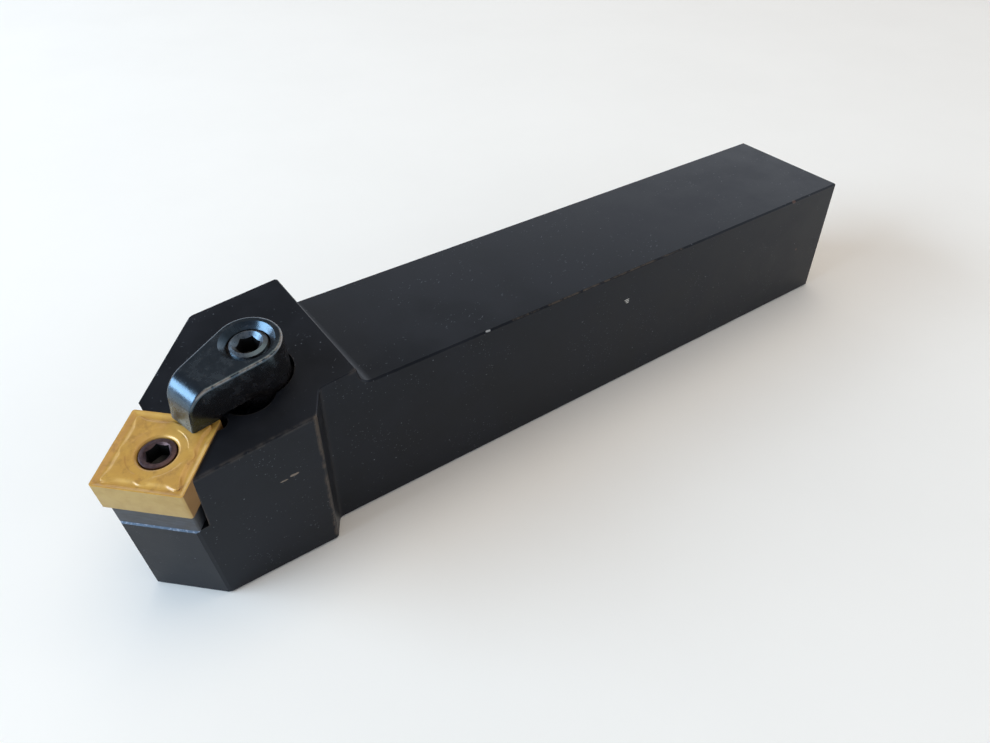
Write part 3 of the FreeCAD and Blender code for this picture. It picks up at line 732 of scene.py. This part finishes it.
# Sides of a turned cylinder, and how far a tool or a blank runs past what it trims
ROUND = 96
SPARE = 0.5 * MM

# The socket's cone, as shares of the width across its flats
CONE_TIP = 0.42
PIN_MOUTH = 0.61
SCREW_MOUTH = 0.73

# How far the parts of one screw reach into each other
OVERLAP = 0.0005 * MM
THREAD_OVERLAP = 0.4 * MM
BLANK_OVERLAP = 0.7 * MM
NECK_OVERLAP = 0.8 * MM


def thread_rod(name, diameter, pitch, top, bottom, right_handed=True):
    """A closed rod with a helical thread, flat at both ends."""
    crest = diameter / 2
    root = crest - THREAD_DEPTH * pitch
    piece = begin(name, bpy.ops.mesh.primitive_plane_add, size=pitch,
                  location=(root, 0.0, 0.0), rotation=(math.pi / 2, 0.0, 0.0))
    apply_place()
    choose(piece, "VERT", lambda vert: vert.co.x > root)
    bpy.ops.mesh.delete(type="VERT")
    bpy.ops.mesh.select_all(action="SELECT")
    bpy.ops.transform.translate(value=(pitch / 2, 0.0, 0.0))
    bpy.ops.mesh.subdivide(number_cuts=PROFILE_CUTS)
    for share, out in THREAD_FORM:
        choose(piece, "VERT", lambda vert: abs(abs(vert.co.z) - (0.5 - share) * pitch) < SAME)
        bpy.ops.transform.translate(value=(out * (crest - root), 0.0, 0.0))
    bpy.ops.mesh.select_all(action="SELECT")
    start = bottom - RUN_IN * pitch if right_handed else top + RUN_IN * pitch
    bpy.ops.transform.translate(value=(0.0, 0.0, start))
    close_edit()
    turns = math.ceil((top - bottom) / pitch) + SPARE_TURNS
    rise = pitch if right_handed else -pitch
    shape_with(piece, "SCREW", axis="Z", angle=2 * math.pi, iterations=turns, steps=TURN_STEPS,
               render_steps=TURN_STEPS, screw_offset=rise, use_smooth_shade=False)
    bpy.ops.object.mode_set(mode="EDIT")
    bpy.ops.mesh.select_all(action="SELECT")
    bpy.ops.mesh.remove_doubles(threshold=2 * MERGE)
    for level, side in ((top, {"clear_outer": True}), (bottom, {"clear_inner": True})):
        bpy.ops.mesh.select_all(action="SELECT")
        bpy.ops.mesh.bisect(plane_co=(0.0, 0.0, level), plane_no=(0.0, 0.0, 1.0), use_fill=True,
                            threshold=SAME, **side)
    bpy.ops.mesh.select_all(action="SELECT")
    bpy.ops.mesh.normals_make_consistent(inside=False)
    close_edit()
    return piece


def turned_rod(name, radius, top, bottom, top_break=0.0, bottom_break=0.0):
    """A plain turned cylinder with chamfered ends."""
    piece = begin(name, bpy.ops.mesh.primitive_cylinder_add, vertices=ROUND, radius=radius,
                  depth=top - bottom, location=(0.0, 0.0, (top + bottom) / 2))
    apply_place()
    for level, width in ((top, top_break), (bottom, bottom_break)):
        if width:
            choose(piece, "FACE", lambda face: all(abs(vert.co.z - level) < SAME for vert in face.verts))
            bpy.ops.mesh.bevel(offset=width, segments=2, affect="EDGES")
    close_edit()
    return piece


def cut_socket(piece, top, across_flats, depth, mouth):
    """A hexagon socket with a conical mouth and a pointed bottom."""
    inner = CONE_TIP * across_flats
    point_width, point_depth = 0.05, 0.25 * across_flats
    cone = mouth + SPARE - inner
    for name, kind, settings in (
            ("mouth_tool", bpy.ops.mesh.primitive_cone_add, {
                "vertices": ROUND, "radius1": inner, "radius2": mouth + SPARE, "depth": cone,
                "location": (0.0, 0.0, top + SPARE - cone / 2)}),
            ("hexagon_tool", bpy.ops.mesh.primitive_cylinder_add, {
                "vertices": 6, "radius": across_flats / math.sqrt(3), "depth": depth + SPARE,
                "location": (0.0, 0.0, top + (SPARE - depth) / 2)})):
        tool = begin(name, kind, **settings)
        close_edit()
        combine(piece, tool, "DIFFERENCE")
    bpy.ops.object.mode_set(mode="EDIT")
    choose(piece, "FACE", lambda face: all(abs(vert.co.z - top + depth) < SAME for vert in face.verts))
    grow(point_width, -point_depth)
    close_edit()


def line_socket(piece, colours, top, across_flats):
    """Gives the inside of a hexagon socket its painted shade, a near-black lining of its own."""
    bpy.context.view_layer.objects.active = piece
    piece.data.materials.append(painted_socket_shade(piece.name + "_painted_socket_shade", colours))
    bpy.ops.object.mode_set(mode="EDIT")
    reach, floor, under_cone = 0.58 * across_flats, top - 4 * MM, top - 0.15 * across_flats
    choose(piece, "FACE", lambda face: face.calc_center_median().z < under_cone and all(
        vert.co.xy.length < reach and vert.co.z > floor for vert in face.verts))
    piece.active_material_index = 1
    bpy.ops.object.material_slot_assign()
    close_edit()


def join(pieces):
    """Several closed pieces as one, named for the first."""
    bpy.ops.object.select_all(action="DESELECT")
    for piece in pieces:
        piece.select_set(True)
    bpy.context.view_layer.objects.active = pieces[0]
    bpy.ops.object.join()
    return pieces[0]


def make_pin(sizes, insert):
    """The lock pin: head, collar and thread, from the seat's plane down."""
    top = -sizes.head_drop
    under_head = -insert.thickness - sizes.gap
    under_collar = under_head - sizes.shim + 2 * sizes.gap
    foot = under_head - sizes.shim - sizes.thread_length
    piece = turned_rod("threaded_lock_pin", sizes.head / 2, top, under_head, sizes.head_break)
    cut_socket(piece, top, sizes.socket, sizes.socket_depth, PIN_MOUTH * sizes.socket)
    collar = turned_rod("collar", sizes.collar / 2, under_head + OVERLAP, under_collar,
                        sizes.collar_break, sizes.collar_break)
    rod = thread_rod("thread", sizes.thread, sizes.pitch, under_collar + THREAD_OVERLAP, foot)
    blank = turned_rod("blank", sizes.thread / 2, under_collar + BLANK_OVERLAP, foot, 0.0, sizes.end_break)
    combine(rod, blank, "INTERSECT")
    return join([piece, collar, rod])


def make_screw(sizes):
    """The clamp screw: a left-hand thread above, a neck, and a right-hand thread below."""
    top = sizes.top
    bottom = top - sizes.full_length
    threaded = (sizes.full_length - sizes.neck_length) / 2
    neck_top, neck_foot = top - threaded, bottom + threaded
    blank = turned_rod("blank", sizes.thread / 2, top, neck_top, sizes.end_break, sizes.neck_break)
    cut_socket(blank, top, sizes.socket, sizes.socket_depth, SCREW_MOUTH * sizes.socket)
    upper = thread_rod("threaded_clamp_screw", sizes.thread, sizes.pitch, top + SPARE, neck_top - SPARE,
                       right_handed=False)
    combine(upper, blank, "INTERSECT")
    lower = thread_rod("lower", sizes.thread, sizes.pitch, neck_foot + SPARE, bottom - SPARE)
    blank = turned_rod("blank", sizes.thread / 2, neck_foot, bottom, sizes.neck_break, sizes.end_break)
    combine(lower, blank, "INTERSECT")
    neck = turned_rod("neck", sizes.neck / 2, neck_top + NECK_OVERLAP, neck_foot - NECK_OVERLAP)
    return join([upper, neck, lower])


# Stage


# Both lamps look at the tool's head: a cold window far on the left and a warm soft light overhead
LIT_POINT = Vector((-0.06, 0.0, 0.02))
WINDOW_PLACE = Vector((-0.85, 0.3, 0.42))
WINDOW_SIZE = (0.87, 0.39)
WINDOW_COLOUR = (0.6, 0.78, 1.0)
OVERHEAD_PLACE = Vector((0.16, 0.05, 1.05))
OVERHEAD_SIZE = (0.9, 0.9)
OVERHEAD_COLOUR = (1.0, 0.85, 0.68)

# The room dims between these heights, and turns from blue on the left to neutral on the right
SKY_FADE = (0.3, 0.62)
TINT_SPAN = (-0.7, 0.3)
LEFT_TINT = (0.66, 0.78, 1.0, 1.0)
RIGHT_TINT = (1.04, 1.1, 1.2, 1.0)

# The camera's own axes, and the nearest thing it sees, in metres
CAMERA_RIGHT = Vector((0.8086, -0.58827, 0.01015))
CAMERA_UP = Vector((0.36702, 0.51782, 0.77276))
CAMERA_BACK = Vector((-0.45985, -0.62113, 0.63461))
SENSOR_MM = 36.0
NEAREST_SEEN = 0.005

# Operators


def refinish(node, material):
    """Gives a solid its finish."""
    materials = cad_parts[node].data.materials
    materials.clear()
    materials.append(material)


class TOOLHOLDER_OT_stage(bpy.types.Operator):
    """Sets up the pale floor, the soft studio light and the camera"""
    bl_idname = "tool_holder.stage"
    bl_label = "Floor, light and camera"

    def execute(self, context):
        stage = context.scene.tool_holder_stage
        bpy.ops.object.select_all(action="DESELECT")
        bpy.ops.mesh.primitive_plane_add(size=stage.floor_size)
        floor = context.object
        floor.name = "floor"
        # Uncoated paper: matt, with faint warm clouds
        material, tree, shader, place = new_material("pale_paper")
        clouds = patches(tree, place, 60.0, 0.3, 0.7)
        paper = painted(tree, stage.floor_colour, [(clouds, 1.0, stage.floor_cloud)])
        tree.links.new(paper, shader.inputs["Base Color"])
        shader.inputs["Roughness"].default_value = 0.9
        shader.inputs["Specular IOR Level"].default_value = 0.2
        floor.data.materials.append(material)

        for name, spot, power, size, colour in (
                ("window_light", WINDOW_PLACE, stage.window_power, WINDOW_SIZE, WINDOW_COLOUR),
                ("overhead_light", OVERHEAD_PLACE, stage.overhead_power, OVERHEAD_SIZE, OVERHEAD_COLOUR)):
            bpy.ops.object.light_add(type="AREA", location=spot)
            lamp = context.object
            lamp.name = name
            lamp.rotation_euler = (spot - LIT_POINT).to_track_quat("Z", "Y").to_euler()
            lamp.data.shape = "RECTANGLE"
            lamp.data.size, lamp.data.size_y = size
            lamp.data.energy = power
            lamp.data.color = colour

        world = bpy.data.worlds.new("studio_room")
        world.use_nodes = True
        context.scene.world = world
        tree = world.node_tree
        tree.nodes.clear()
        way = add_node(tree, "ShaderNodeSeparateXYZ", links={
            0: add_node(tree, "ShaderNodeTexCoord").outputs["Generated"]})
        bright = add_node(tree, "ShaderNodeMapRange", {
            "interpolation_type": "SMOOTHSTEP", "From Min": SKY_FADE[0], "From Max": SKY_FADE[1],
            "To Min": stage.low_sky, "To Max": stage.high_sky}, {
            "Value": way.outputs["Z"]}).outputs[0]
        rightward = add_node(tree, "ShaderNodeMapRange", {
            "From Min": TINT_SPAN[0], "From Max": TINT_SPAN[1]}, {
            "Value": way.outputs["X"]}).outputs[0]
        tint = add_node(tree, "ShaderNodeMix", {"data_type": "RGBA", 6: LEFT_TINT, 7: RIGHT_TINT}, {
            0: rightward}).outputs[2]
        light = add_node(tree, "ShaderNodeBackground", links={"Color": tint, "Strength": bright})
        add_node(tree, "ShaderNodeOutputWorld", links={"Surface": light.outputs[0]})

        bpy.ops.object.camera_add()
        camera = context.object
        camera.name = "camera"
        turn = Matrix((CAMERA_RIGHT, CAMERA_UP, CAMERA_BACK)).transposed()
        camera.matrix_world = Matrix.Translation(stage.camera_place) @ turn.to_4x4()
        camera.data.lens = stage.lens
        camera.data.sensor_width = SENSOR_MM
        camera.data.clip_start = NEAREST_SEEN
        context.scene.camera = camera
        context.scene.view_settings.view_transform = "Standard"
        return {"FINISHED"}


class TOOLHOLDER_OT_body(bpy.types.Operator):
    """Finishes the shank and head in black oxide"""
    bl_idname = "tool_holder.body"
    bl_label = "Holder body"

    def execute(self, context):
        refinish("holder_body", black_oxide(context.scene.tool_holder_finishes))
        return {"FINISHED"}


class TOOLHOLDER_OT_shim(bpy.types.Operator):
    """Finishes the bare carbide shim under the insert"""
    bl_idname = "tool_holder.shim"
    bl_label = "Shim"

    def execute(self, context):
        refinish("shim", ground_carbide(context.scene.tool_holder_finishes))
        return {"FINISHED"}


class TOOLHOLDER_OT_clamp(bpy.types.Operator):
    """Finishes the forged top clamp"""
    bl_idname = "tool_holder.clamp"
    bl_label = "Clamp"

    def execute(self, context):
        refinish("clamp", clamp_oxide(context.scene.tool_holder_finishes))
        return {"FINISHED"}


class TOOLHOLDER_OT_insert(bpy.types.Operator):
    """Models the coated insert with its moulded chip grooves and sets it in the pocket"""
    bl_idname = "tool_holder.insert"
    bl_label = "Coated insert"

    def execute(self, context):
        sizes = context.scene.tool_holder_insert
        colours = context.scene.tool_holder_finishes
        piece = make_insert(sizes)
        piece.data.materials.append(nitride_coat(
            "nitride_coated_carbide", colours, colours.nitride, colours.deep_nitride,
            smooth=0.5, rough=0.6, grain_mm=0.1, metal=0.35, coat=0.9, smudged=0.4))
        piece.data.materials.append(nitride_coat(
            "ground_coated_carbide", colours, colours.ground_nitride, colours.deep_ground,
            smooth=0.52, rough=0.6, grain_mm=0.06, metal=0.2, coat=0.0, smudged=0.08))
        # The ground sides, without the hole's wall
        choose(piece, "FACE", lambda face: abs(face.normal.z) < 0.2 and all(
            vert.co.xy.length > sizes.hole for vert in face.verts))
        piece.active_material_index = 1
        bpy.ops.object.material_slot_assign()
        settle(piece, SEAT @ Matrix.Translation((0.0, 0.0, -sizes.thickness / 2)), "holder",
               "insert", INSERT_SMOOTH_UNDER)
        return {"FINISHED"}


class TOOLHOLDER_OT_lock_pin(bpy.types.Operator):
    """Models the browned lock pin with its socket and thread"""
    bl_idname = "tool_holder.lock_pin"
    bl_label = "Lock pin"

    def execute(self, context):
        sizes = context.scene.tool_holder_pin
        colours = context.scene.tool_holder_finishes
        piece = make_pin(sizes, context.scene.tool_holder_insert)
        piece.data.materials.append(socket_steel(
            "browned_screw_steel", colours.pin_oxide, colours.pin_wear,
            smooth=0.34, rough=0.48, metal=0.75, index=METAL_INDEX, sheen=NO_TINT))
        line_socket(piece, colours, -sizes.head_drop, sizes.socket)
        settle(piece, SEAT, "lock_pin", "lock_pin", SMOOTH_UNDER)
        return {"FINISHED"}


class TOOLHOLDER_OT_clamp_screw(bpy.types.Operator):
    """Models the clamp screw with a thread at each end and its socket"""
    bl_idname = "tool_holder.clamp_screw"
    bl_label = "Clamp screw"

    def execute(self, context):
        sizes = context.scene.tool_holder_screw
        colours = context.scene.tool_holder_finishes
        piece = make_screw(sizes)
        piece.data.materials.append(socket_steel(
            "worn_screw_steel", colours.screw_oxide, colours.screw_wear,
            smooth=0.26, rough=0.4, metal=0.0, index=THICK_INDEX, sheen=ROOM_BLUE))
        line_socket(piece, colours, sizes.top, sizes.socket)
        settle(piece, CLAMP, "clamp_screw", "clamp_screw", SMOOTH_UNDER)
        return {"FINISHED"}


OPERATORS = (
    TOOLHOLDER_OT_stage,
    TOOLHOLDER_OT_body,
    TOOLHOLDER_OT_shim,
    TOOLHOLDER_OT_insert,
    TOOLHOLDER_OT_lock_pin,
    TOOLHOLDER_OT_clamp,
    TOOLHOLDER_OT_clamp_screw,
)

GROUPS = (
    ("tool_holder_insert", InsertSizes),
    ("tool_holder_pin", PinSizes),
    ("tool_holder_screw", ScrewSizes),
    ("tool_holder_finishes", Finishes),
    ("tool_holder_stage", StageSettings),
)


class TOOLHOLDER_PT_panel(bpy.types.Panel):
    """Lists the sizes, colours and pieces of the tool holder"""
    bl_idname = "TOOLHOLDER_PT_panel"
    bl_label = "Tool holder"
    bl_space_type = "VIEW_3D"
    bl_region_type = "UI"
    bl_category = "Tool holder"

    def draw(self, context):
        for operator in OPERATORS:
            self.layout.operator(operator.bl_idname)
        for name, group in GROUPS:
            box = self.layout.box()
            for key in group.__annotations__:
                box.prop(getattr(context.scene, name), key)


def register():
    """Adds the properties, the operators and the panel."""
    for name, group in GROUPS:
        bpy.utils.register_class(group)
        setattr(bpy.types.Scene, name, PointerProperty(type=group))
    for operator in OPERATORS:
        bpy.utils.register_class(operator)
    bpy.utils.register_class(TOOLHOLDER_PT_panel)


def unregister():
    """Takes them away again."""
    bpy.utils.unregister_class(TOOLHOLDER_PT_panel)
    for operator in reversed(OPERATORS):
        bpy.utils.unregister_class(operator)
    for name, group in reversed(GROUPS):
        delattr(bpy.types.Scene, name)
        bpy.utils.unregister_class(group)


def main():
    """Makes the stage and every piece."""
    register()
    bpy.ops.tool_holder.stage()
    bpy.ops.tool_holder.body()
    bpy.ops.tool_holder.shim()
    bpy.ops.tool_holder.insert()
    bpy.ops.tool_holder.lock_pin()
    bpy.ops.tool_holder.clamp()
    bpy.ops.tool_holder.clamp_screw()


if __name__ == "__main__":
    main()
